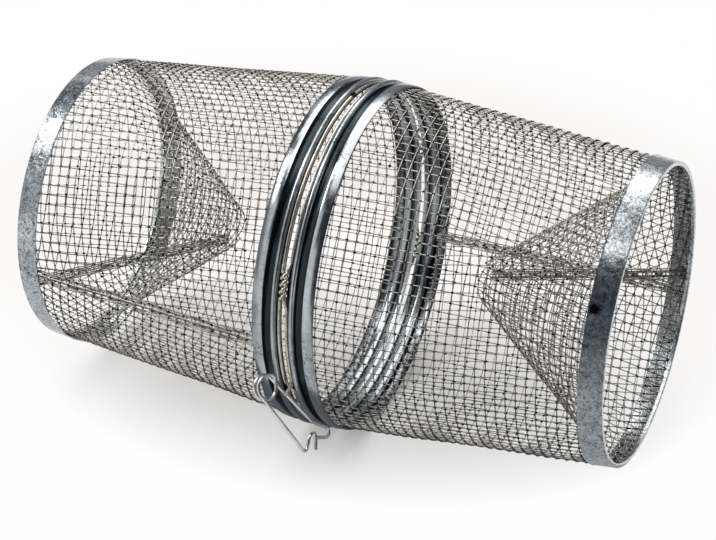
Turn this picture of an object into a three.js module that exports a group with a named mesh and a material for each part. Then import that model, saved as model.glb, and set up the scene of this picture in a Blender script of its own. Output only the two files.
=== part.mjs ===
// A two-piece wire mesh minnow trap, standing alone, in millimetres.
// X runs along the trap from one funnel mouth to the other, Z is up, and the origin is the middle of the joint.
// Angles round the trap are counted from the top, over the front (the -Y side), to the bottom.
import * as THREE from "three";
import { mergeVertices } from "three/addons/utils/BufferGeometryUtils.js";

// Overall sizes
const halfLength = 200;
const endRadius = 98;
const rimRadius = 115;
const sides = 28;

// Sheet and mesh
const sheet = 1;
const meshWall = 1;
const meshBar = 2.6;
const fitGap = 0.3;
const jointGap = 3.2;

// End band, a flat strip folded over the mouth edge of the mesh
const endBandWidth = 15;
const endLipDepth = 4;
const foldCorner = 0.7;

// Rim, a beaded strip round the joint edge: seat for a tie wire, bead, groove and flat band
const seatWidth = 2.4;
const beadWidth = 5.2;
const beadCorner = 1;
const beadHeight = 0.9;
const beadLean = 0.5;
const grooveWidth = 3.4;
const grooveDepth = 2.1;
const rimBandWidth = 8.2;

// Body mesh
const bodyRows = 4;
const leftBodySeamAngle = 94;
const rightBodySeamAngle = 257;

// Funnel
const funnelDepth = 111;
const throatRadius = 12.5;
const flangeDepth = 3.4;
const funnelRowShares = [0, 0.34, 0.64, 0.87, 1];
const leftFunnelSeamAngle = 103;
const rightFunnelSeamAngle = 257;

// Tie wires, two strands round the joint, twisted together at three places and crossed over the clip
const tieWire = 2;
const twistGap = 0.5;
const twistPitch = 7;
const twistAngles = [77, 244, 283];
const twistTurns = [2, 2, 1.5];
const twistSteps = 6;
const clipAngle = 116;
const crossSpan = 8;
const crossOffset = -3;
const tieEndGap = 1.5;
const tieEndAngle = 0;
const tieSides = 5;

// Clip, bent from one wire like a safety pin: arm with a round hook, coil, and latch with a peaked hook
const clipWire = 1.9;
const clipClearance = 0.4;
const clipSides = 6;
const clipSetoff = 5.5;
const armLength = 34.3;
const armSlant = 30.3;
const coilRadius = 8;
const coilSetback = 8.1;
const coilGap = 0.4;
const coilSteps = 16;
const latchLength = 48;
const latchSlope = 3.8;
const latchOffset = 2.3;
const clipHang = 9;
const hookReach = 16.8;
const hookShares = [
  [0.5, 0.37],
  [0.76, 0.17],
  [0.96, 0.01],
  [1, -0.17],
  [0.86, -0.31],
  [0.64, -0.28],
  [0.32, -0.12],
];
const peakDepth = 14.2;
const peakShares = [
  [0.06, 0],
  [0.16, -0.09],
  [0.12, -0.28],
  [-0.05, -0.6],
  [-0.08, -0.84],
  [0.02, -1],
  [0.16, -0.94],
  [0.34, -0.75],
  [0.57, -0.46],
];

// Worked-out sizes
const facetTurn = (2 * Math.PI) / sides;
const facetShare = Math.cos(facetTurn / 2);
const jointEdge = jointGap / 2;
const tieRadius = tieWire / 2;
const clipRadius = clipWire / 2;
const beadStart = jointEdge + seatWidth;
const beadEnd = beadStart + beadWidth;
const grooveEnd = beadEnd + grooveWidth;
const rimEnd = grooveEnd + rimBandWidth;
const beadTop = rimRadius + beadHeight;
const grooveBottom = rimRadius - grooveDepth;
const seatRadius = rimRadius - beadHeight - grooveDepth;
const bodyStart = grooveEnd + sheet + fitGap;
const bodyEnd = halfLength - sheet - fitGap;
const endBandStart = halfLength - endBandWidth;
const bodyStartRadius = rimRadius - sheet - fitGap;
const bodyEndRadius = endRadius - sheet - fitGap;
const taper = (bodyStartRadius - bodyEndRadius) / (bodyEnd - bodyStart);
const funnelTip = halfLength - funnelDepth;
const funnelBend = bodyEnd - flangeDepth;

const zinc = new THREE.MeshStandardMaterial({ color: 0x9aa4ab, roughness: 0.38, metalness: 0.9 });
const galvanizedWire = new THREE.MeshStandardMaterial({ color: 0x86898a, roughness: 0.45, metalness: 0.85 });
const brightWire = new THREE.MeshStandardMaterial({ color: 0xb9b6ae, roughness: 0.3, metalness: 0.95 });

const trap = new THREE.Group();

function radians(degrees) {
  return THREE.MathUtils.degToRad(degrees);
}

// Outer radius of the body mesh at a distance from the joint plane.
function bodyRadius(along) {
  return bodyStartRadius - taper * (along - bodyStart);
}

// The point at a place along the trap, a radius, and an angle in radians from the top.
function around(along, radius, angle) {
  return new THREE.Vector3(along, -radius * Math.sin(angle), radius * Math.cos(angle));
}

// The facet whose middle lies nearest to an angle in degrees.
function facetAt(degrees) {
  return Math.round(radians(degrees) / facetTurn) % sides;
}

// The same closed surface with its faces pointing out.
function facingOut(geometry) {
  const solid = geometry.index ? geometry.toNonIndexed() : geometry;
  const place = solid.getAttribute("position");
  const a = new THREE.Vector3();
  const b = new THREE.Vector3();
  const c = new THREE.Vector3();
  let volume = 0;
  for (let i = 0; i < place.count; i += 3) {
    a.fromBufferAttribute(place, i);
    b.fromBufferAttribute(place, i + 1);
    c.fromBufferAttribute(place, i + 2);
    volume += a.dot(b.cross(c));
  }
  const bare = new THREE.BufferGeometry().setAttribute("position", place);
  const merged = mergeVertices(bare, fitGap / 1000);
  if (volume < 0) merged.index.array.reverse();
  merged.computeVertexNormals();
  return merged;
}

function addPiece(name, geometry, material, parent = trap) {
  const piece = new THREE.Mesh(facingOut(geometry), material);
  piece.name = name;
  parent.add(piece);
}

// A closed profile of [distance from the joint, radius] points, turned round the trap's axis.
function revolve(profile, side) {
  const points = profile.map(([along, radius]) => new THREE.Vector2(radius, side * along));
  points.push(points[0].clone());
  const ring = new THREE.LatheGeometry(points, sides, facetTurn / 2, 2 * Math.PI);
  ring.rotateZ(-Math.PI / 2);
  return ring;
}

// A shell of flat facets through stations { along, outer, open }. Between two stations each facet has one
// window if the first is open, except in the facet of the lap seam, which stays whole.
function latticeShell(stations, side, seamFacet) {
  const corners = [];
  const face = (...quad) => {
    const [a, b, c, d] = quad;
    corners.push(a, b, c, a, c, d);
  };
  const inset = (quad, share) => {
    const from = quad[0].clone().lerp(quad[3], share);
    const to = quad[1].clone().lerp(quad[2], share);
    const edge = meshBar / 2 / from.distanceTo(to);
    return [from.clone().lerp(to, edge), to.clone().lerp(from, edge)];
  };
  const windowIn = (quad) => {
    const edge = meshBar / 2 / quad[0].distanceTo(quad[3]);
    const [a, b] = inset(quad, edge);
    const [d, c] = inset(quad, 1 - edge);
    return [a, b, c, d];
  };
  for (let row = 0; row + 1 < stations.length; row++) {
    const near = stations[row];
    const far = stations[row + 1];
    for (let facet = 0; facet < sides; facet++) {
      const start = (facet - 0.5) * facetTurn;
      const end = (facet + 0.5) * facetTurn;
      const patch = (nearRadius, farRadius) => [
        around(side * near.along, nearRadius, start),
        around(side * near.along, nearRadius, end),
        around(side * far.along, farRadius, end),
        around(side * far.along, farRadius, start),
      ];
      const outer = patch(near.outer, far.outer);
      const inner = patch(near.inner, far.inner);
      if (near.open && facet !== seamFacet) {
        const outerWindow = windowIn(outer);
        const innerWindow = windowIn(inner);
        for (let i = 0; i < 4; i++) {
          const j = (i + 1) % 4;
          face(outer[i], outer[j], outerWindow[j], outerWindow[i]);
          face(outerWindow[i], outerWindow[j], innerWindow[j], innerWindow[i]);
          face(innerWindow[i], innerWindow[j], inner[j], inner[i]);
        }
      } else {
        face(...outer);
        face(inner[0], inner[3], inner[2], inner[1]);
      }
      if (row === 0) face(outer[1], outer[0], inner[0], inner[1]);
      if (row + 2 === stations.length) face(outer[3], outer[2], inner[2], inner[3]);
    }
  }
  return new THREE.BufferGeometry().setFromPoints(corners);
}

// A path that an extrusion follows from point to point, with rings only where the points are.
class WirePath extends THREE.Curve {
  constructor(points) {
    super();
    this.points = points;
  }
  getPointAt(share, target = new THREE.Vector3()) {
    return target.copy(this.points[Math.round(share * (this.points.length - 1))]);
  }
  getTangentAt(share, target = new THREE.Vector3()) {
    const last = this.points.length - 1;
    const here = Math.round(share * last);
    const before = this.points[Math.max(here - 1, 0)];
    const after = this.points[Math.min(here + 1, last)];
    return target.subVectors(after, before).normalize();
  }
}

// A round wire of the given radius along a list of points.
function wire(points, radius, wireSides) {
  const section = new THREE.Shape();
  for (let i = 0; i < wireSides; i++) {
    const turn = (2 * Math.PI * i) / wireSides;
    const x = radius * Math.cos(turn);
    const y = radius * Math.sin(turn);
    if (i === 0) section.moveTo(x, y);
    else section.lineTo(x, y);
  }
  section.closePath();
  return new THREE.ExtrudeGeometry(section, {
    steps: points.length - 1,
    bevelEnabled: false,
    extrudePath: new WirePath(points),
  });
}

// Flat strip folded over the mouth edge, with a short lip inside that holds mesh and funnel.
function endBandProfile() {
  const outer = (along) => bodyRadius(along) + fitGap + sheet;
  const lip = (along) => bodyRadius(along) - 2 * meshWall - 3 * fitGap - sheet;
  const lipStart = halfLength - endLipDepth;
  const foldStart = halfLength - foldCorner;
  return [
    [endBandStart, outer(endBandStart)],
    [foldStart, outer(foldStart)],
    [halfLength, outer(halfLength) - foldCorner],
    [halfLength, lip(halfLength) + foldCorner],
    [foldStart, lip(foldStart)],
    [lipStart, lip(lipStart)],
    [lipStart, lip(lipStart) + sheet],
    [halfLength - sheet, lip(halfLength) + sheet],
    [halfLength - sheet, outer(halfLength) - sheet],
    [endBandStart, outer(endBandStart) - sheet],
  ];
}

// Beaded strip: the outer line from the joint edge to the mesh, then the inner line back, one sheet in.
function rimProfile() {
  const endOuter = bodyRadius(rimEnd) + fitGap + sheet;
  return [
    [jointEdge, seatRadius],
    [beadStart, seatRadius],
    [beadStart + beadLean, beadTop - beadCorner],
    [beadStart + beadLean + beadCorner, beadTop],
    [beadEnd - beadLean - beadCorner, beadTop],
    [beadEnd - beadLean, beadTop - beadCorner],
    [beadEnd, grooveBottom],
    [grooveEnd - beadLean, grooveBottom],
    [grooveEnd, rimRadius],
    [rimEnd, endOuter],
    [rimEnd, endOuter - sheet],
    [grooveEnd + sheet, rimRadius - sheet],
    [grooveEnd + sheet - beadLean, grooveBottom - sheet],
    [beadEnd - sheet, grooveBottom - sheet],
    [beadEnd - beadLean - sheet, beadTop - beadCorner - beadLean],
    [beadEnd - beadLean - beadCorner - beadLean, beadTop - sheet],
    [beadStart + beadLean + beadCorner + beadLean, beadTop - sheet],
    [beadStart + beadLean + sheet, beadTop - beadCorner - beadLean],
    [beadStart + sheet, seatRadius - sheet],
    [jointEdge, seatRadius - sheet],
  ];
}

// Cone of square mesh: whole strips under the two bands, and rows of openings between them.
function bodyStations() {
  const openStart = rimEnd + meshBar / 2;
  const openEnd = endBandStart - meshBar / 2;
  const station = (along, open) => {
    return { along, outer: bodyRadius(along), inner: bodyRadius(along) - meshWall, open };
  };
  const stations = [station(bodyStart, false)];
  for (let row = 0; row <= bodyRows; row++) {
    stations.push(station(openStart + ((openEnd - openStart) * row) / bodyRows, row < bodyRows));
  }
  stations.push(station(bodyEnd, false));
  return stations;
}

// Mesh funnel: a flange under the end band's lip, then a cone to the throat, whole in its last row.
function funnelStations() {
  const flangeRadius = (along) => bodyRadius(along) - meshWall - fitGap;
  const bendRadius = flangeRadius(funnelBend);
  const rise = (bendRadius - throatRadius) / (funnelBend - funnelTip);
  const slantWall = meshWall * Math.hypot(rise, 1);
  const stations = [
    { along: bodyEnd, outer: flangeRadius(bodyEnd), inner: flangeRadius(bodyEnd) - meshWall, open: false },
  ];
  funnelRowShares.forEach((share, row) => {
    const along = funnelBend + (funnelTip - funnelBend) * share;
    const outer = bendRadius + (throatRadius - bendRadius) * share;
    const inner = row === 0 ? outer - meshWall : outer - slantWall;
    stations.push({ along, outer, inner, open: row + 2 < funnelRowShares.length });
  });
  return stations;
}

function buildHalf(name, side, bodySeamAngle, funnelSeamAngle) {
  addPiece(name + "_rim", revolve(rimProfile(), side), zinc);
  addPiece(name + "_end_band", revolve(endBandProfile(), side), zinc);
  const body = latticeShell(bodyStations(), side, facetAt(bodySeamAngle));
  addPiece(name + "_body_mesh", body, galvanizedWire);
  const funnel = latticeShell(funnelStations(), side, facetAt(funnelSeamAngle));
  addPiece(name + "_funnel", funnel, galvanizedWire);
}

// Height of a tie wire's middle over the flat of its seat, at rest in the seat and in a twist.
const seatedHeight = tieRadius + fitGap;
const twistRadius = tieRadius + twistGap / 2;
const twistHeight = seatedHeight + twistRadius;
const seatedOffset = jointEdge + tieRadius;
const seatFlat = seatRadius * facetShare;

// The clip's arm lies above the beads, and the strand that crosses over it lies above the arm.
const armRadius = beadTop + clipRadius + clipClearance;
const armRun = clipSetoff / Math.tan(radians(armSlant));
const armTurn = facetTurn / 2;
const armHeight = armRadius * Math.cos(armTurn) + armRun * Math.sin(armTurn) - seatFlat;
const crossHeight = armHeight + clipRadius + 2 * fitGap + tieRadius;

// The point over the middle of a facet's flat: s along the flat, x along the trap, h above the seat.
function overFacet(facet, s, x, h) {
  const angle = facet * facetTurn;
  const down = new THREE.Vector3(0, -Math.cos(angle), -Math.sin(angle));
  return around(x, seatFlat + h, angle).addScaledVector(down, s);
}

// One strand of the tie wire. hand is 1 for the strand that starts on the +X side and -1 for the other.
function strandPoints(hand) {
  const points = [];
  const twistFacets = twistAngles.map(facetAt);
  const clipFacet = facetAt(clipAngle);
  const endFacet = facetAt(tieEndAngle);
  const cornerRadius = seatRadius + seatedHeight / facetShare;
  let place = hand;
  points.push(overFacet(endFacet, tieEndGap / 2, place * seatedOffset, seatedHeight));
  for (let step = 1; step <= sides; step++) {
    const facet = (endFacet + step) % sides;
    points.push(around(place * seatedOffset, cornerRadius, (facet - 0.5) * facetTurn));
    const site = twistFacets.indexOf(facet);
    if (site >= 0) {
      const turns = twistTurns[site];
      const count = turns * twistSteps;
      for (let i = 0; i <= count; i++) {
        const turn = (2 * Math.PI * i) / twistSteps;
        const s = twistPitch * (i / twistSteps - turns / 2);
        const x = place * twistRadius * Math.cos(turn);
        const h = twistHeight + place * twistRadius * Math.sin(turn);
        points.push(overFacet(facet, s, x, h));
      }
      if (turns % 1 !== 0) place = -place;
    } else if (facet === clipFacet) {
      const top = place > 0 ? crossHeight : seatedHeight;
      for (let i = -3; i <= 3; i++) {
        const share = i / 3;
        const rise = (1 + Math.cos(Math.PI * share)) / 2;
        const h = seatedHeight + (top - seatedHeight) * Math.sqrt(rise);
        const x = -place * seatedOffset * Math.sin((Math.PI / 2) * share);
        points.push(overFacet(facet, crossOffset + (crossSpan / 2) * share, x, h));
      }
      place = -place;
    }
  }
  points.push(overFacet(endFacet, -tieEndGap / 2, place * seatedOffset, seatedHeight));
  return points;
}

// Points of an arc in the clip's plane, clockwise from one angle to another, with a steady rise.
function arc(centre, radius, from, to, steps, rise) {
  const points = [];
  for (let i = 0; i <= steps; i++) {
    const angle = radians(from + ((to - from) * i) / steps);
    const x = centre.x + radius * Math.cos(angle);
    const y = centre.y + radius * Math.sin(angle);
    points.push(new THREE.Vector3(x, y, centre.z + (rise * i) / steps));
  }
  return points;
}

// Arm of the clip: round hook, straight arm through the tie wires, and one turn of the coil.
function armPoints() {
  const coilCentre = new THREE.Vector3(-coilSetback, coilRadius, 0);
  const hook = hookShares.map(([x, y]) => {
    return new THREE.Vector3(armLength + x * hookReach, y * hookReach, 0);
  });
  const coil = arc(coilCentre, coilRadius, -90, -450, coilSteps, -(clipWire + coilGap));
  return [...hook, new THREE.Vector3(armLength, 0, 0), new THREE.Vector3(0, 0, 0), ...coil];
}

// Latch of the clip: half a turn of the coil, a straight leg, and a peaked hook that catches the arm's hook.
function latchPoints() {
  const layer = -2 * (clipWire + coilGap);
  const coilCentre = new THREE.Vector3(-coilSetback, coilRadius, layer);
  const coil = arc(coilCentre, coilRadius, -90, -270 + latchSlope, coilSteps / 2, 0);
  const start = coil[coil.length - 1];
  const slope = radians(latchSlope);
  const end = new THREE.Vector3(
    start.x + latchLength * Math.cos(slope),
    start.y + latchLength * Math.sin(slope),
    -latchOffset,
  );
  const peak = peakShares.map(([x, y]) => {
    return new THREE.Vector3(end.x + x * peakDepth, end.y + y * peakDepth, -latchOffset);
  });
  return [...coil, end, ...peak];
}

buildHalf("left", -1, leftBodySeamAngle, leftFunnelSeamAngle);
buildHalf("right", 1, rightBodySeamAngle, rightFunnelSeamAngle);
addPiece("upper_tie_wire", wire(strandPoints(1), tieRadius, tieSides), brightWire);
addPiece("lower_tie_wire", wire(strandPoints(-1), tieRadius, tieSides), brightWire);

// The clip lies over the left bead and runs under the crossing of the tie wires. Its own X runs down along
// the arm, slanting over the right rim, and its Y points from the arm to the latch, away from the rims.
const clip = new THREE.Group();
const clipTurn = facetAt(clipAngle) * facetTurn - armTurn;
const slant = radians(armSlant);
const hang = radians(clipHang);
const outward = new THREE.Vector3(0, -Math.sin(clipTurn), Math.cos(clipTurn));
const downward = new THREE.Vector3(0, -Math.cos(clipTurn), -Math.sin(clipTurn));
const armAxis = downward.clone().multiplyScalar(Math.cos(slant));
armAxis.x = Math.sin(slant);
const sideways = armAxis.clone().cross(outward);
const latchAxis = outward.clone().multiplyScalar(Math.cos(hang));
latchAxis.addScaledVector(sideways, Math.sin(hang));
const clipNormal = armAxis.clone().cross(latchAxis);
clip.position.copy(around(-clipSetoff, armRadius, clipTurn));
clip.setRotationFromMatrix(new THREE.Matrix4().makeBasis(armAxis, latchAxis, clipNormal));
trap.add(clip);
addPiece("clip_arm", wire(armPoints(), clipRadius, clipSides), brightWire, clip);
addPiece("clip_latch", wire(latchPoints(), clipRadius, clipSides), brightWire, clip);

export default trap;
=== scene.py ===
import bpy
import bmesh
from math import sin, cos, atan, atan2, pi, radians, hypot
from mathutils import Vector, Matrix, noise


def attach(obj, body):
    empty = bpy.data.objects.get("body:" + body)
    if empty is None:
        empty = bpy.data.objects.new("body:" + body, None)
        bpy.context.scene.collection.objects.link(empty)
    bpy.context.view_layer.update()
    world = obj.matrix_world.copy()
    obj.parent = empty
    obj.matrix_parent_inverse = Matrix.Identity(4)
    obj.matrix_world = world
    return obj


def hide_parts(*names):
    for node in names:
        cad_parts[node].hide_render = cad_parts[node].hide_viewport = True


# Wire mesh minnow trap in two halves, in metres. X runs along the trap and Z is up.
# Angles round the trap are counted from the top, over the front (-Y), to the bottom.

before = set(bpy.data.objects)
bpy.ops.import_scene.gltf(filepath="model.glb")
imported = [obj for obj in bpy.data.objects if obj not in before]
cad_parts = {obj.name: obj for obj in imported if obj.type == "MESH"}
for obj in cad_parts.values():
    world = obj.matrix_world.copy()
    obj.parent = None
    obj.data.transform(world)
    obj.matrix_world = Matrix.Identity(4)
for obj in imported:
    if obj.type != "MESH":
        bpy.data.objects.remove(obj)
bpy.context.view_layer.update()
print("frame loaded,", len(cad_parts), "nodes")


class Amount:  # a number that changes over a surface, so that sums and products of it become Math nodes
    def __init__(self, finish, socket):
        self.finish, self.socket = finish, socket

    def math(self, operation, *values):
        node = self.finish.node("Math", {"operation": operation}, dict(enumerate(values)))
        return Amount(self.finish, node.outputs[0])

    def __add__(self, other): return self.math("ADD", self, other)
    def __radd__(self, other): return self.math("ADD", other, self)
    def __sub__(self, other): return self.math("SUBTRACT", self, other)
    def __rsub__(self, other): return self.math("SUBTRACT", other, self)
    def __mul__(self, other): return self.math("MULTIPLY", self, other)
    def __rmul__(self, other): return self.math("MULTIPLY", other, self)


class Finish:  # one material or world, and the method that adds any node to it
    def __init__(self, name, kind="materials"):
        self.material = getattr(bpy.data, kind).new(name)
        self.material.use_nodes = True
        self.tree = self.material.node_tree
        self.tree.nodes.clear()
        self.place = self.node("TexCoord").outputs["Object"]

    def node(self, kind, settings=None, sockets=None):
        made = self.tree.nodes.new("ShaderNode" + kind)
        for name, value in (settings or {}).items():
            if name == "stops":
                ramp = made.color_ramp
                ramp.elements[0].position, ramp.elements[-1].position = value[0][0], value[-1][0]
                for at, color in value[1:-1]:
                    ramp.elements.new(at)
                for element, (at, color) in zip(ramp.elements, value):
                    element.color = (*color, 1)
            else:
                setattr(made, name, value)
        for name, value in (sockets or {}).items():
            value = getattr(value, "socket", value)
            if isinstance(value, bpy.types.NodeSocket):
                self.tree.links.new(value, made.inputs[name])
            else:
                made.inputs[name].default_value = value
        return made

    def amount(self, node, output):
        return Amount(self, node.outputs[output])

    def vector(self, operation, *values):
        return self.node("VectorMath", {"operation": operation}, dict(enumerate(values))).outputs["Vector"]

    def measure(self, operation, *values):             # a length or a dot product
        node = self.node("VectorMath", {"operation": operation}, dict(enumerate(values)))
        return self.amount(node, "Value")

    def channel(self, color, name):
        return self.amount(self.node("SeparateColor", {}, {"Color": color}), name)

    def noise(self, scale, detail, rough=0.5):
        sockets = {"Vector": self.place, "Scale": scale, "Detail": detail, "Roughness": rough}
        return self.amount(self.node("TexNoise", {}, sockets), "Fac")

    def ramp(self, amount, stops):
        return self.node("ValToRGB", {"stops": stops}, {"Fac": amount}).outputs["Color"]

    def blend(self, share, first, second, way="MIX"):
        settings = {"data_type": "RGBA", "blend_type": way}
        return self.node("Mix", settings, {0: share, 6: first, 7: second}).outputs[2]

    def bump(self, height, depth, strength):
        sockets = {"Height": height, "Distance": depth, "Strength": strength}
        return self.node("Bump", {}, sockets).outputs["Normal"]

    def show(self, shader, output="OutputMaterial"):
        self.node(output, {}, {"Surface": shader.outputs[0]})
        return self.material

    def metal(self, sockets):
        return self.show(self.node("BsdfPrincipled", {}, sockets))


white = (1, 1, 1)
spangledZinc = {
    "spangle": 260,            # spangles per metre
    "flake": 1100,             # and flakes within them
    "speck": 620,
    "cloud": 16,
    "shares": {"spangle": 0.22, "flake": 0.25, "cloud": 0.45, "speck": 1.5},  # of each in the shade
    "darkness": 0.57,
    "tones": [(0.2, (0.07, 0.085, 0.105)), (0.5, (0.40, 0.43, 0.45)), (0.85, (0.74, 0.76, 0.77))],
    "drift": 120,              # waves per metre that bend the spangles' edges
    "driftReach": 0.007,
    "lean": 60,                # heights in the bump, of a spangle's slope and of what lies on it
    "flakeRise": 0.08,
    "speckRise": 0.1,
    "depth": 0.0006,
    "strength": 0.3,
    "metallic": 0.94,
    "rough": 0.13,
    "spangleRough": 0.10,
    "flakeRough": 0.06,
}
weldSpot = {
    "place": (0.1925, -0.0822, 0.0534),
    "size": 0.0056,
    "ragged": 0.5,
    "burn": [(0.4, (0.04, 0.03, 0.03)), (0.9, white)],
}


def zincSheet(name, look, weld):
    f = Finish(name)
    wave = f.node("TexNoise", {}, {"Vector": f.place, "Scale": look["drift"], "Detail": 3})
    bent = f.vector("MULTIPLY_ADD", wave.outputs["Color"], (look["driftReach"],) * 3, f.place)
    large = f.node("TexVoronoi", {}, {"Vector": bent, "Scale": look["spangle"]})
    small = f.node("TexVoronoi", {}, {"Vector": bent, "Scale": look["flake"]})
    tone = f.channel(large.outputs["Color"], "Red")
    flake = f.channel(small.outputs["Color"], "Green")
    cloud, speck = f.noise(look["cloud"], detail=2), f.noise(look["speck"], detail=3, rough=0.6)
    shares = look["shares"]
    shade = tone * shares["spangle"] + flake * shares["flake"]
    shade = shade + cloud * shares["cloud"] + speck * shares["speck"] - look["darkness"]
    fromWeld = f.measure("LENGTH", f.vector("SUBTRACT", bent, weld["place"])) * (1 / weld["size"])
    burnt = f.ramp(fromWeld + speck * weld["ragged"] - weld["ragged"] / 2, weld["burn"])
    # every spangle leans its own way
    fromMiddle = f.vector("SUBTRACT", bent, large.outputs["Position"])
    leaning = f.vector("SUBTRACT", large.outputs["Color"], (0.5,) * 3)     # up to 0.5 either way
    slope = f.measure("DOT_PRODUCT", fromMiddle, leaning)
    height = slope * look["lean"] + flake * look["flakeRise"] + speck * look["speckRise"]
    return f.metal({
        "Base Color": f.blend(1.0, f.ramp(shade, look["tones"]), burnt, "MULTIPLY"),
        "Metallic": look["metallic"],
        "Roughness": look["rough"] + tone * look["spangleRough"] + flake * look["flakeRough"],
        "Normal": f.bump(height, look["depth"], look["strength"]),
    })


rolledSheet = {
    "spangle": 420,            # per metre, pressed flat
    "cloud": 24,
    "scratch": 900,
    "spangleShare": 0.14,
    "scratchShare": 0.3,
    "darkness": 0.2,
    "tones": [(0.3, (0.09, 0.11, 0.13)), (0.42, (0.33, 0.355, 0.37)), (0.75, (0.50, 0.525, 0.54))],
    "grooveShadeFrom": 0.1114,       # radii of the groove's bottom and of the bead's top
    "grooveShadeTo": 0.1154,
    "grooveShadeAndGrime": (0.06, 0.072, 0.076),     # painted shade, and some grime: what the bottom of the groove keeps of the colour
    "grooveShadeStops": (0.06, 0.13, 0.42, 0.85),
    "cloudRise": 2,
    "scratchRise": 0.1,
    "depth": 0.0004,
    "strength": 0.35,
    "metallic": 0.96,
    "rough": 0.13,
    "cloudRough": 0.08,
    "spangleRough": 0.05,
}


def rolledZinc(name, look):
    # smooth strip off a roll, with dull blue patches, and painted shade, with some grime, in its groove
    f = Finish(name)
    cells = f.node("TexVoronoi", {}, {"Vector": f.place, "Scale": look["spangle"]})
    tone = f.channel(cells.outputs["Color"], "Red")
    cloud, scratch = f.noise(look["cloud"], detail=2), f.noise(look["scratch"], detail=3)
    shade = cloud + tone * look["spangleShare"] + scratch * look["scratchShare"] - look["darkness"]
    radius = f.measure("LENGTH", f.vector("MULTIPLY", f.place, (0, 1, 1)))
    height = (radius - look["grooveShadeFrom"]) * (1 / (look["grooveShadeTo"] - look["grooveShadeFrom"]))
    # the groove's bottom is darkened: painted shade, and some grime
    kept = (white, look["grooveShadeAndGrime"], look["grooveShadeAndGrime"], white)
    grooveShadeAndGrime = f.ramp(height, list(zip(look["grooveShadeStops"], kept)))
    relief = cloud * look["cloudRise"] + scratch * look["scratchRise"]
    return f.metal({
        "Base Color": f.blend(1.0, f.ramp(shade, look["tones"]), grooveShadeAndGrime, "MULTIPLY"),
        "Metallic": look["metallic"],
        "Roughness": look["rough"] + cloud * look["cloudRough"] + tone * look["spangleRough"],
        "Normal": f.bump(relief, look["depth"], look["strength"]),
    })


wireGrain = {
    "fine": 1100,              # grain per metre
    "coarse": 70,
    "fineShare": 0.55,
    "coarseShare": 0.5,
    "darkest": 0.3,            # shades that have the dark and the light colour
    "lightest": 0.72,
    "scatter": 0.2,            # what the fine grain adds to the roughness
    "depth": 0.0002,
    "strength": 0.5,
    "metallic": 0.9,
}


def grained(f, look):  # the sockets of any wire's shader
    fine, coarse = f.noise(wireGrain["fine"], detail=2), f.noise(wireGrain["coarse"], detail=3)
    shade = fine * wireGrain["fineShare"] + coarse * wireGrain["coarseShare"]
    tones = [(wireGrain["darkest"], look["dark"]), (wireGrain["lightest"], look["light"])]
    return {
        "Base Color": f.ramp(shade, tones),
        "Metallic": wireGrain["metallic"],
        "Roughness": look["rough"] + fine * wireGrain["scatter"],
        "Normal": f.bump(fine, wireGrain["depth"], wireGrain["strength"]),
    }


tieLook = {"dark": (0.13, 0.12, 0.10), "light": (0.80, 0.755, 0.68), "rough": 0.12}
clipLook = {"dark": (0.54, 0.535, 0.52), "light": (0.92, 0.91, 0.89), "rough": 0.02}


def drawnWire(name, look):
    f = Finish(name)
    return f.metal(grained(f, look))


dippedWire = {
    "dark": (0.13, 0.12, 0.107),
    "light": (0.78, 0.74, 0.68),
    "rough": 0.20,
    "under": [(0.35, (0.2, 0.2, 0.2)), (0.8, white)],  # painted shade: what sides that face down keep of the colour
    # near black at the crossings: painted shade
    "knot": (0.022, 0.021, 0.02),
    "knotRough": 0.3,          # more than the wire
}


def netWire(name, look):
    # darker underneath, as painted shade, and near black where the zinc gathers at the crossings, also
    # painted shade, which the attribute called knot marks
    f = Finish(name)
    sockets = grained(f, look)
    knot = f.amount(f.node("Attribute", {"attribute_name": "knot"}), "Fac")
    facing = f.node("TexCoord").outputs["Normal"]
    upwards = f.amount(f.node("SeparateXYZ", {}, {"Vector": facing}), "Z")
    # sides that face down are darkened: painted shade
    shadedBelow = f.ramp(upwards * 0.5 + 0.5, look["under"])                # 0 faces down, and 1 up
    plain = f.blend(1.0, sockets["Base Color"], shadedBelow, "MULTIPLY")
    # the crossings turn near black: painted shade
    sockets["Base Color"] = f.blend(knot, plain, (*look["knot"], 1))
    sockets["Roughness"] = sockets["Roughness"] + knot * look["knotRough"]
    return f.metal(sockets)


bandZinc = zincSheet("band_zinc", spangledZinc, weldSpot)
rimZinc = rolledZinc("rim_zinc", rolledSheet)
meshZinc = netWire("mesh_wire", dippedWire)
tieSteel = drawnWire("tie_wire", tieLook)
clipSteel = drawnWire("clip_wire", clipLook)
print("finishes made")

trap = {                       # sizes that the pieces share
    "half": 0.2000,            # from the joint to a mouth
    "jointEdge": 0.0014,       # half the gap between the rims
    "meshStart": 0.0139,
    "meshEnd": 0.1987,
    "startRadius": 0.1137,     # outside of the body mesh, at the joint and at the mouth
    "endRadius": 0.0967,
    "meshMiddle": 0.0005,      # from the outside of a mesh to its middle
    "seat": 0.1120,            # where the tie wires lie
    "bead": 0.1159,
}
taper = (trap["startRadius"] - trap["endRadius"]) / (trap["meshEnd"] - trap["meshStart"])


def bodyRadius(along):
    return trap["startRadius"] - taper * (along - trap["meshStart"])


def around(along, radius, angle):
    return Vector((along, -radius * sin(angle), radius * cos(angle)))


def finished(obj, body, material, nodes):
    obj.data.materials.clear()
    obj.data.materials.append(material)
    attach(obj, body)
    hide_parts(*nodes)


def objectFrom(bm, name):
    mesh = bpy.data.meshes.new(name)
    bm.to_mesh(mesh)
    bm.free()
    mesh.shade_smooth()
    obj = bpy.data.objects.new(name, mesh)
    bpy.context.scene.collection.objects.link(obj)
    return obj


# bands and rims, each a strip of sheet turned round the trap

turning = {
    "steps": 160,              # in a turn
    "same": 1e-6,              # points closer than this are one
    "crease": 50,              # degrees
}


def runsRound(edge):  # between two faces, and not along the trap
    along = edge.verts[0].co.x - edge.verts[1].co.x
    return len(edge.link_faces) == 2 and abs(along) < turning["same"]


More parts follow.
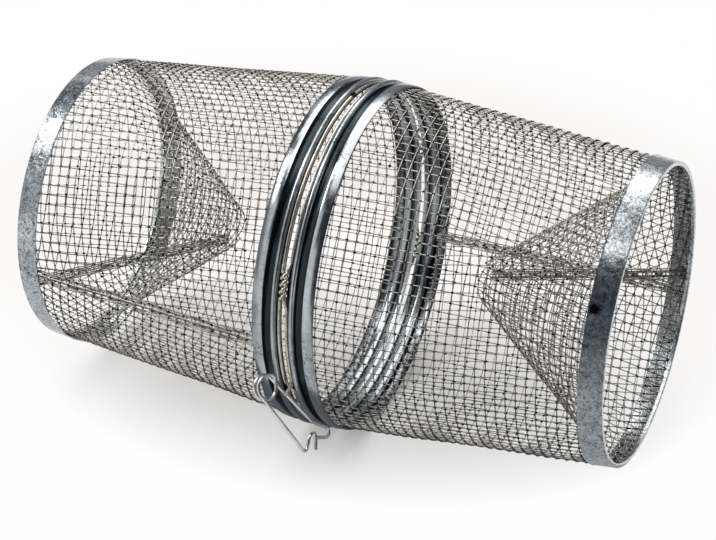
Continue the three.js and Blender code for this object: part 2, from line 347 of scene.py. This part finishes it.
def turnedStrip(name, line, side, size):
    bm = bmesh.new()
    verts = [bm.verts.new((side * along, 0, radius)) for along, radius in line]
    edges = [bm.edges.new(pair) for pair in zip(verts, verts[1:])]
    bmesh.ops.spin(bm, geom=verts + edges, cent=(0, 0, 0), axis=(1, 0, 0), angle=2 * pi,
                   steps=turning["steps"], use_merge=True)
    bmesh.ops.remove_doubles(bm, verts=bm.verts, dist=turning["same"])
    bmesh.ops.recalc_face_normals(bm, faces=bm.faces)
    outermost = max(bm.faces, key=lambda face: face.calc_center_median().z)
    if outermost.normal.z < 0:
        bmesh.ops.reverse_faces(bm, faces=bm.faces)
    folds = [edge for edge in bm.edges if runsRound(edge) and edge.calc_face_angle() > radians(size["sharp"])]
    bmesh.ops.bevel(bm, geom=folds, affect="EDGES", offset=size["rounding"], segments=3,
                    profile=0.5, material=-1)
    bmesh.ops.solidify(bm, geom=bm.faces, thickness=size["sheet"])
    bmesh.ops.recalc_face_normals(bm, faces=bm.faces)
    obj = objectFrom(bm, name)
    obj.data.set_sharp_from_angle(angle=radians(turning["crease"]))
    return obj


endBand = {
    "width": 0.0150,
    "cover": 0.0008,           # over the outside of the mesh
    "curl": 0.0003,            # of the edge away from the mesh, and the strip that it takes
    "curlWidth": 0.0012,
    "fold": 0.0031,            # from the outer wall to the lip, over both meshes
    "lip": 0.0026,
    "sheet": 0.0006,
    "sharp": 15,               # degrees, from which a fold is rounded
    "rounding": 0.0006,
}


def endBandLine(size):
    def wall(along):
        return bodyRadius(along) + size["cover"]

    end = trap["half"]
    start, lip = end - size["width"], end - size["lip"]
    curl = start + size["curlWidth"]
    return [
        (start, wall(start) + size["curl"]),
        (curl, wall(curl)),
        (end, wall(end)),
        (end, wall(end) - size["fold"]),
        (lip, wall(lip) - size["fold"]),
    ]


rim = {
    "seat": 0.0026,            # widths, from the joint outwards
    "bead": 0.0042,
    "groove": 0.0052,
    "band": 0.0074,
    "grooveRadius": 0.1121,
    "bandRadius": 0.1150,
    "beadSteps": 12,
    "fullness": 0.7,           # of the bead: less is fuller
    # points of the line, along from the groove's end, or for the last ones from the strip's end
    "outOfGroove": ((-0.0013, 0), (-0.0005, 0.0004)),              # and up from its bottom
    "ontoBand": ((0, -0.0009), (0.0003, -0.0002), (0.0010, 0)),    # and up from the band
    "ontoMesh": ((-0.0008, 0.0013), (0, 0.0008)),                  # and up from the mesh
    "sheet": 0.0006,
    "sharp": 55,
    "rounding": 0.0003,
}


def rimLine(size):
    beadStart = trap["jointEdge"] + size["seat"]
    grooveEnd = beadStart + size["bead"] + size["groove"]
    end = grooveEnd + size["band"]
    line = [(trap["jointEdge"], trap["seat"])]
    for step in range(size["beadSteps"] + 1):          # the bead, rolled nearly round
        angle = pi * step / size["beadSteps"]
        foot = trap["seat"] if angle < pi / 2 else size["grooveRadius"]
        rise = (trap["bead"] - foot) * sin(angle) ** size["fullness"]
        line.append((beadStart + size["bead"] / 2 * (1 - cos(angle)), foot + rise))
    line += [(grooveEnd + along, size["grooveRadius"] + up) for along, up in size["outOfGroove"]]
    line += [(grooveEnd + along, size["bandRadius"] + up) for along, up in size["ontoBand"]]
    line += [(end + along, bodyRadius(end) + up) for along, up in size["ontoMesh"]]
    return line


for side, half in ((-1, "left"), (1, "right")):
    band = turnedStrip(half + "_band", endBandLine(endBand), side, endBand)
    finished(band, half + "_half", bandZinc, [half + "_end_band"])
    collar = turnedStrip(half + "_collar", rimLine(rim), side, rim)
    finished(collar, half + "_half", rimZinc, [half + "_rim"])
print("bands and rims turned")


# wires, each a round curve that is made a mesh

def newWire(name, thickness, sides):
    curve = bpy.data.curves.new(name, "CURVE")
    curve.dimensions = "3D"
    curve.bevel_depth = thickness / 2
    curve.bevel_resolution = (sides - 4) // 2
    curve.use_fill_caps = True
    return curve


def addRun(curve, run):
    if len(run) < 2:
        return
    spline = curve.splines.new("POLY")
    spline.points.add(len(run) - 1)
    for point, (place, swell) in zip(spline.points, run):
        point.co = (*place, 1)
        point.radius = swell
    spline.use_smooth = True


def wireObject(curve):
    maker = bpy.data.objects.new(curve.name, curve)
    bpy.context.scene.collection.objects.link(maker)
    bpy.context.view_layer.update()
    mesh = bpy.data.meshes.new_from_object(maker.evaluated_get(bpy.context.evaluated_depsgraph_get()))
    bpy.data.objects.remove(maker)
    mesh.name = curve.name
    obj = bpy.data.objects.new(curve.name, mesh)
    bpy.context.scene.collection.objects.link(obj)
    return obj


# square mesh, cut from a flat sheet as a sector and rolled into a cone

net = {
    "pitch": 0.00635,
    "wire": 0.00073,
    "sides": 6,
    "layers": 0.85,            # from one layer of wires to the other, in thicknesses
    "middles": 0.95,           # thickness at a crossing, as a share
    "ends": 0.92,              # and at a cut end
    "wander": 0.0005,
    "wanderWaves": (14, 60),   # per metre along a wire, and from wire to wire
    "dentWaves": 22,
    "knot": 0.00101,           # radius of the zinc gathered at a crossing
    "knotReach": 0.0010,       # and how far it reaches along the wire
    "knotTip": 0.3,            # its share of the radius there
    "knotMean": 0.78,          # the knots' sizes vary round this, by less than the spread
    "knotSpread": 0.5,
    "knotWaves": 700,
    "knotSeed": 0.01,
    "lap": 0.0068,             # overlap at the seam
    "hem": 0.0048,             # edge of the sheet, turned back over the lap
    "lift": 0.0012,            # how far the seam's two layers stand apart
    "seamWires": (0.0001, 0.0016),     # inwards from the lap's edge, and one more by the hem's width
    "seamLift": 0.0004,
    "seamThickness": 1.15,
    "halvings": 8,             # that find where a wire meets the sheet's edge
}


def layNet(name, cone, size):
    # a point of the sheet is (u, v), with the cone's tip at 0, 0 and the middle of the sheet along u
    halfTurn = pi * cone["spread"]

    def isOnSheet(u, v):
        slant, turn = hypot(u, v), abs(atan2(v, u))
        if not cone["from"] <= slant <= cone["to"]:
            return False
        beyond = slant * sin(min(turn - halfTurn, pi / 2))
        return turn <= halfTurn or beyond <= size["lap"] / 2 + size["hem"]

    def placed(slant, turn, lift):
        past = slant * (abs(turn) - halfTurn) - size["lap"] / 2
        if past > 0:                                   # turned back, as the hem
            turn *= 1 - 2 * past / slant / abs(turn)
            lift += size["lift"] / 2 if turn > 0 else -size["lift"] / 2
        angle = cone["seam"] + pi + turn / cone["spread"]
        along, radius = cone["shape"](slant)
        spot = around(cone["side"] * along, radius, angle)
        lift += size["lift"] / 2 * turn / halfTurn
        lift += cone["dents"] * noise.noise(spot * size["dentWaves"] + Vector((cone["seed"], 0, 0)))
        return around(cone["side"] * along, radius + lift, angle)

    def rolled(u, v, lift):
        return placed(hypot(u, v), atan2(v, u), lift)

    def edgeBetween(inside, outside):
        for halving in range(size["halvings"]):
            middle = ((inside[0] + outside[0]) / 2, (inside[1] + outside[1]) / 2)
            if isOnSheet(*middle):
                inside = middle
            else:
                outside = middle
        return inside

    def knotRun(u, v, thick):
        ways = ((-1, size["knotTip"]), (0, 1), (1, size["knotTip"]))
        return [(rolled(u + way * size["knotReach"], v, 0), thick * share) for way, share in ways]

    curve = newWire(name, size["wire"], size["sides"])
    knots = newWire(name + "_knots", size["knot"] * 2, size["sides"])
    lines = int((cone["to"] + size["pitch"]) / size["pitch"]) + 1
    alongWaves, acrossWaves = size["wanderWaves"]
    for family in (0, 1):                              # wires along u, then wires along v
        lift = (family - 0.5) * size["wire"] * size["layers"]
        for line in range(-lines, lines + 1):
            across = (line + cone["shift"][family]) * size["pitch"]
            run, last = [], None
            for step in range(-lines, lines + 1):
                along = (step + cone["shift"][1 - family]) * size["pitch"]
                waves = Vector((along * alongWaves, across * acrossWaves, cone["seed"]))
                drift = size["wander"] * noise.noise(waves)
                spot = (along, across + drift) if family == 0 else (across + drift, along)
                inside = isOnSheet(*spot)
                if inside and last and not last[1]:
                    run = [(rolled(*edgeBetween(spot, last[0]), lift), size["ends"])]
                if inside:
                    run.append((rolled(*spot, lift), size["middles"]))
                    if family == 0:
                        uneven = noise.noise(Vector((along, across, size["knotSeed"])) * size["knotWaves"])
                        addRun(knots, knotRun(*spot, size["knotMean"] + size["knotSpread"] * uneven))
                elif last and last[1]:
                    run.append((rolled(*edgeBetween(last[0], spot), lift), size["ends"]))
                    addRun(curve, run)
                    run = []
                last = (spot, inside)
            addRun(curve, run)
    steps = int((cone["to"] - cone["from"]) / size["pitch"])
    slants = [cone["from"] + (cone["to"] - cone["from"]) * step / steps for step in range(steps + 1)]
    for edge in (-1, 1):                               # the wires that the hem folds over
        for inwards in (*size["seamWires"], size["hem"]):
            offset, run = size["lap"] / 2 - inwards, []
            for slant in slants:
                spot = placed(slant, edge * (halfTurn + offset / slant), edge * size["seamLift"])
                run.append((spot, size["seamThickness"]))
            addRun(curve, run)
    return knotted(wireObject(curve), wireObject(knots))


def knotted(wires, knots):
    bm = bmesh.new()
    bm.from_mesh(wires.data)
    mark = bm.verts.layers.float.new("knot")
    plain = len(bm.verts)
    bm.from_mesh(knots.data)
    bm.verts.ensure_lookup_table()
    for vert in bm.verts[plain:]:
        vert[mark] = 1
    bm.to_mesh(wires.data)
    bm.free()
    bpy.data.objects.remove(knots)
    return wires


bodyNet = {
    "leftSeam": radians(94),
    "rightSeam": radians(250),
    "leftSeed": 3.0,
    "rightSeed": 8.0,
    "shift": (0.3, 0.6),       # of the squares on the sheet, in squares
    "spread": 0.062,           # turn of the sheet for a turn round the trap, less than a true cone's
    "dents": 0.0007,
}
bodyLean = atan(taper)
bodySlant = (trap["startRadius"] + trap["endRadius"]) / 2 / bodyNet["spread"]
bodyReach = (trap["meshEnd"] - trap["meshStart"]) / 2 / cos(bodyLean)


def bodyShape(slant):
    along = (trap["meshStart"] + trap["meshEnd"]) / 2 - (slant - bodySlant) * cos(bodyLean)
    return along, bodyRadius(along) - trap["meshMiddle"]


funnelNet = {
    "leftSeam": radians(100),
    "rightSeam": radians(257),
    "leftSeed": 5.0,
    "rightSeed": 10.0,
    "shift": (0.5, 0.2),
    "tip": 0.0890,             # from the joint to the throat's edge
    "throat": 0.0125,          # its radius
    "bend": 0.1953,            # from the joint to where the flange starts
    "flangeDepth": 0.0011,     # of the flange under the outside of the body mesh
    "dents": 0.0010,
}
bendRadius = bodyRadius(funnelNet["bend"]) - funnelNet["flangeDepth"]
funnelRise = (bendRadius - funnelNet["throat"]) / (funnelNet["bend"] - funnelNet["tip"])
funnelLean = atan(funnelRise)
bendSlant = bendRadius / sin(funnelLean)


def funnelShape(slant):
    if slant > bendSlant:                              # the flange under the lip
        along = funnelNet["bend"] + slant - bendSlant
        return along, bodyRadius(along) - funnelNet["flangeDepth"] - trap["meshMiddle"]
    radius = slant * sin(funnelLean)
    return funnelNet["tip"] + (radius - funnelNet["throat"]) / funnelRise, radius - trap["meshMiddle"]


for side, half in ((-1, "left"), (1, "right")):
    body = layNet(half + "_mesh", {
        "side": side, "seam": bodyNet[half + "Seam"], "seed": bodyNet[half + "Seed"],
        "spread": bodyNet["spread"], "shape": bodyShape,
        "from": bodySlant - bodyReach, "to": bodySlant + bodyReach,
        "shift": bodyNet["shift"], "dents": bodyNet["dents"],
    }, net)
    finished(body, half + "_half", meshZinc, [half + "_body_mesh"])
    funnel = layNet(half + "_cone", {
        "side": side, "seam": funnelNet[half + "Seam"], "seed": funnelNet[half + "Seed"],
        "spread": sin(funnelLean), "shape": funnelShape,
        "from": funnelNet["throat"] / sin(funnelLean), "to": bendSlant + trap["meshEnd"] - funnelNet["bend"],
        "shift": funnelNet["shift"], "dents": funnelNet["dents"],
    }, net)
    finished(funnel, half + "_half", meshZinc, [half + "_funnel"])
    print(half, "nets", len(body.data.polygons), len(funnel.data.polygons))


# tie wires, which run round the joint side by side, twist at some places and cross over the clip

tie = {
    "wire": 0.0022,
    "sides": 10,
    "start": 0.8,              # degrees
    "end": 359.3,
    "apart": 0.0026,           # each strand's middle from the joint plane
    "twists": ((72.5, 2), (244.29, 2), (282.86, 1.5)),   # place in degrees and turns
    "pitch": 0.0086,
    "twistRadius": 0.76,       # in thicknesses
    "twistLift": 0.0003,
    "approach": 0.0075,        # length in which a strand leaves its seat
    "crossing": 110.8,         # over the clip
    "crossLift": 0.0070,
    "crossLength": 0.011,
    "reach": 9,                # degrees to either side that a twist or the crossing may take
    "handOver": 8.6,           # and where the strands' new sides hold
    "step": 1.6,
    "fineStep": 0.35,
}
seated = trap["seat"] + tie["wire"] / 2
twistRadius = tie["wire"] * tie["twistRadius"]
twistMiddle = seated + twistRadius + tie["twistLift"]
sites = (*tie["twists"], (tie["crossing"], 0))         # the crossing has no turns


def eased(share):
    share = min(max(share, 0), 1)
    return share * share * (3 - 2 * share)


def twisted(s, turns, side):  # across the joint and radius, s metres past the middle of a twist
    halfTwist = turns * tie["pitch"] / 2
    if abs(s) <= halfTwist:
        turn = 2 * pi * (s + halfTwist) / tie["pitch"]
        return side * twistRadius * cos(turn), twistMiddle + side * twistRadius * sin(turn)
    share = eased((abs(s) - halfTwist) / tie["approach"])
    after = -1 if s > 0 and turns % 1 else 1           # half a turn more changes the sides
    x = after * side * (twistRadius + (tie["apart"] - twistRadius) * share)
    return x, twistMiddle + (seated - twistMiddle) * share


def crossed(s, side):  # the same for the crossing
    share = eased(0.5 + s / tie["crossLength"])
    top = seated + (tie["crossLift"] if side > 0 else 0)
    height = seated + (top - seated) * (1 - eased(abs(s) / tie["approach"]))
    return side * tie["apart"] * (1 - 2 * share), height


def strand(hand):
    run, side, angle = [], hand, tie["start"]          # side is 1 right of the joint, and -1 left
    while angle < tie["end"]:
        x, radius, step = side * tie["apart"], seated, tie["step"]
        changes = False
        for middle, turns in sites:
            if abs(angle - middle) < tie["reach"]:
                step = tie["fineStep"]
                s = radians(angle - middle) * trap["seat"]
                x, radius = twisted(s, turns, side) if turns else crossed(s, side)
                passed = angle < middle + tie["handOver"] <= angle + step
                changes = passed and (turns == 0 or turns % 1)
        run.append((around(x, radius, radians(angle)), 1))
        if changes:
            side = -side
        angle += step
    return run


for name, hand in (("upper", 1), ("lower", -1)):
    curve = newWire(name + "_tie", tie["wire"], tie["sides"])
    addRun(curve, strand(hand))
    finished(wireObject(curve), "left_half", tieSteel, [name + "_tie_wire"])
print("tie wires laid")


# clip, one bent wire in two pieces: the arm with its coil, and the latch

clip = {
    "wire": 0.0022,
    "sides": 10,
    "place": (-0.0055, -0.110670, -0.038725),
    "alongArm": (0.504528, 0.285161, -0.814945),
    "toLatch": (-0.135065, -0.906195, -0.400709),
    "arm": 0.0343,
    "straightEnd": 0.003,      # of the arm before the coil
    "coil": 0.0080,            # radius
    "setback": 0.0081,
    "coilGap": 0.0002,
    "coilSteps": 40,           # in a turn
    "hook": 0.0168,            # size of the hook, and its line in shares of that
    "hookLine": ((0.5, 0.37), (0.76, 0.17), (0.96, 0.01), (1, -0.17), (0.86, -0.31),
                 (0.64, -0.28), (0.32, -0.12)),
    "latch": 0.0480,
    "slope": 3.8,              # degrees from the arm to the latch
    "latchOffset": 0.0022,
    "latchEnd": 0.004,         # of the latch before the peak
    "peak": 0.0142,            # size of the peak, and its line in shares of that
    "peakLine": ((0.06, 0), (0.16, -0.09), (0.12, -0.28), (-0.05, -0.6), (-0.08, -0.84),
                 (0.02, -1), (0.16, -0.94), (0.34, -0.75), (0.57, -0.46)),
}


def arc(centre, radius, start, end, steps, rise=0.0):
    run, (x, y, z) = [], centre
    for step in range(steps + 1):
        angle = radians(start + (end - start) * step / steps)
        run.append(Vector((x + radius * cos(angle), y + radius * sin(angle), z + rise * step / steps)))
    return run


def softened(points):  # cuts each corner at a quarter of its sides, twice, and keeps the two ends
    for cutting in range(2):
        cut = [points[0]]
        for first, second in zip(points, points[1:]):
            cut += [first.lerp(second, 0.25), first.lerp(second, 0.75)]
        points = cut + [points[-1]]
    return points


def clipPiece(name, points, body, node):
    along, toLatch = Vector(clip["alongArm"]), Vector(clip["toLatch"])
    turn = Matrix((along, toLatch, along.cross(toLatch))).transposed()
    curve = newWire(name, clip["wire"], clip["sides"])
    addRun(curve, [(turn @ point + Vector(clip["place"]), 1) for point in points])
    finished(wireObject(curve), body, clipSteel, [node])


layer = -(clip["wire"] + clip["coilGap"])
coilX, coilY = -clip["setback"], clip["coil"]
armEnd = Vector((clip["arm"], 0, 0))
hook = [armEnd + Vector((x, y, 0)) * clip["hook"] for x, y in clip["hookLine"]]
armLine = softened(hook + [armEnd])
armLine += [Vector((coilX + clip["straightEnd"], 0, 0))]
armLine += arc((coilX, coilY, 0), clip["coil"], -90, -450, clip["coilSteps"], layer)   # one full turn
clipPiece("clip_arm_wire", armLine, "clip", "clip_arm")

leaves = -270 + clip["slope"]                          # half a turn, less the slope
latchLine = arc((coilX, coilY, 2 * layer), clip["coil"], -90, leaves, clip["coilSteps"] // 2)
start, slope = latchLine[-1], radians(clip["slope"])
endX, endY = start.x + clip["latch"] * cos(slope), start.y + clip["latch"] * sin(slope)
end = Vector((endX, endY, -clip["latchOffset"]))
peak = [end + Vector((x, y, 0)) * clip["peak"] for x, y in clip["peakLine"]]
latchLine += softened([end - (end - start).normalized() * clip["latchEnd"], end] + peak)
clipPiece("clip_latch_wire", latchLine, "latch", "clip_latch")
print("clip bent")


# floor, lamps, cards and camera

def seenShare(finish, share):  # the share for what the eye, metal and glass see, and 0 for other light
    rays = finish.node("LightPath")
    seen = finish.amount(rays, "Is Camera Ray") + finish.amount(rays, "Is Transmission Ray")
    return (seen + finish.amount(rays, "Is Glossy Ray")) * share


floorLook = {
    "size": 6,                 # half its width
    "gap": 0.0002,             # under the beads
    "paper": (0.93, 0.905, 0.885),
    "shadowMiddle": (-0.04, 0.09, -0.1),       # round here the paper shows, with its shadows
    "shadowScale": (3.1, 3.9, 0),
    "glow": [(0.45, (0.22, 0.22, 0.22)), (0.83, (0.97, 0.97, 0.97))],  # and further out it glows
    "warmShadeMiddle": (-0.10, 0.24, -0.1),         # the glow is warmer and darker near the trap: a painted shadow
    "warmShadeScale": (2.4, 2.9, 0),
    "warmShade": [(0.35, (0.89, 0.855, 0.84)), (0.95, white)],
}


def glowingPaper(name, look):
    f = Finish(name)

    def away(middle, scale):
        return f.measure("LENGTH", f.vector("MULTIPLY", f.vector("SUBTRACT", f.place, middle), scale))

    share = f.channel(f.ramp(away(look["shadowMiddle"], look["shadowScale"]), look["glow"]), "Red")
    # a darker, warmer glow round the trap: painted shadow
    warmShade = f.ramp(away(look["warmShadeMiddle"], look["warmShadeScale"]), look["warmShade"])
    paper = f.node("BsdfDiffuse", {}, {"Color": (*look["paper"], 1)})
    glow = f.node("Emission", {}, {"Color": warmShade, "Strength": 1.0})
    mixed = {"Fac": seenShare(f, share), 1: paper.outputs[0], 2: glow.outputs[0]}
    return f.show(f.node("MixShader", {}, mixed))


bm = bmesh.new()
bmesh.ops.create_grid(bm, x_segments=1, y_segments=1, size=floorLook["size"])
bmesh.ops.translate(bm, verts=bm.verts, vec=(0, 0, -trap["bead"] - floorLook["gap"]))
floor = objectFrom(bm, "floor")
floor.data.materials.append(glowingPaper("studio_floor", floorLook))

room = {"color": (0.92, 0.96, 1), "strength": 0.3}     # the light that the walls give
studio = Finish("studio", "worlds")
walls = studio.node("Background", {}, {"Color": (*room["color"], 1), "Strength": room["strength"]})
backdrop = studio.node("Background", {}, {"Color": (*white, 1)})
mixed = {"Fac": seenShare(studio, 1), 1: walls.outputs[0], 2: backdrop.outputs[0]}
bpy.context.scene.world = studio.show(studio.node("MixShader", {}, mixed), "OutputWorld")

lamps = {                      # middle, width, length and radiance, all hung level
    "overhead_box": ((-0.26, 0.50, 1.05), 1.04, 1.56, 3.0),
    "left_box": ((-0.96, -0.36, 1.06), 0.68, 0.64, 3.9),
}
for name, (place, width, length, radiance) in lamps.items():
    lamp = bpy.data.lights.new(name, "AREA")
    lamp.shape = "RECTANGLE"
    lamp.size, lamp.size_y = width, length
    lamp.energy = radiance * width * length * pi       # watts that give this radiance
    obj = bpy.data.objects.new(name, lamp)
    obj.location = place
    bpy.context.scene.collection.objects.link(obj)

onFloor = -0.1158              # just over it
cards = {                      # x, y and z of flags and boards round the set, and their shade: glowing sheets that give painted reflections, dark and bright
    "top_flag": ((-2.2, 2.2), (-2.2, 2.2), 3.2, 0.03),
    "front_flag": ((-0.55, 2.2), -1.3, (0.75, 3.2), 0.02),
    "low_flag": ((-0.02, 2.2), -1.3, (-0.1, 0.75), 0.05),
    "right_flag": (2.2, (-1.3, 2.2), (-0.1, 2.2), 0.06),
    # bright glowing boards: painted highlights
    "front_board": ((-0.30, 0.40), (-0.26, -0.48), (1.12, 1.08), 2.6),
    "left_board": ((-1.32, -0.90), (-0.66, 0.04), 1.04, 10),
    "gap_flag": ((-0.80, -0.46), (-0.07, 0.20), 1.04, 0.06),
    "upper_left_flag": (-2.2, (1.9, -1.25), (1.2, 3.2), 0.03),
    "front_left_flag": (-2.2, (-1.25, -2.2), (1.2, 3.2), 0.75),
    # dark sheets just over the floor: painted shade in the floor's reflection
    "left_floor_flag": ((-0.60, -0.20), (-0.55, -0.03), onFloor, 0.64),
    "joint_flag": ((-0.12, 0.09), (-0.135, 0.0), onFloor, 0.15),
    "floor_flag": ((0.09, 0.60), (-1.28, -0.31), onFloor, 0.20),
    "near_flag": ((0.09, 0.60), (-0.31, 0.0), onFloor, 0.42),
    "back_flag": ((2.2, -2.2), 1.9, (-0.1, 1.05), 0.26),
    "left_flag": (-2.2, (1.9, -2.2), (-0.1, 1.2), 0.4),
}
cardTint = (0, 0.012, 0.03)    # a little blue


def cardCorner(extents, first, second):
    # the first axis with two ends takes the first pick, and the others take the second
    picks = iter((first, second, second))
    return [extent[next(picks)] if isinstance(extent, tuple) else extent for extent in extents]


for name, (*extents, shade) in cards.items():          # only polished metal sees them, as painted reflections
    look = Finish(name + "_cloth")
    color = (*[shade + more for more in cardTint], 1)
    bm = bmesh.new()
    corners = [cardCorner(extents, *picks) for picks in ((0, 0), (1, 0), (1, 1), (0, 1))]
    bm.faces.new([bm.verts.new(corner) for corner in corners])
    card = objectFrom(bm, name)
    card.data.materials.append(look.show(look.node("Emission", {}, {"Color": color})))
    card.visible_camera = card.visible_diffuse = card.visible_shadow = card.visible_transmission = False

view = {
    "lens": 102.69,
    "sensor": 36,
    "near": 0.05,
    "far": 30,
    "place": (0.48097, -1.06031, 0.66750),
    "right": (0.913259, 0.407230, -0.011018),
    "up": (-0.196812, 0.464730, 0.863302),
}
camera = bpy.data.objects.new("camera", bpy.data.cameras.new("camera"))
camera.data.lens = view["lens"]
camera.data.sensor_width = view["sensor"]
camera.data.clip_start, camera.data.clip_end = view["near"], view["far"]
right, up = Vector(view["right"]), Vector(view["up"])
turn = Matrix((right, up, right.cross(up))).transposed()
camera.matrix_world = Matrix.Translation(view["place"]) @ turn.to_4x4()
bpy.context.scene.collection.objects.link(camera)
bpy.context.scene.camera = camera
bpy.context.scene.view_settings.view_transform = "Standard"

print("scene ready")
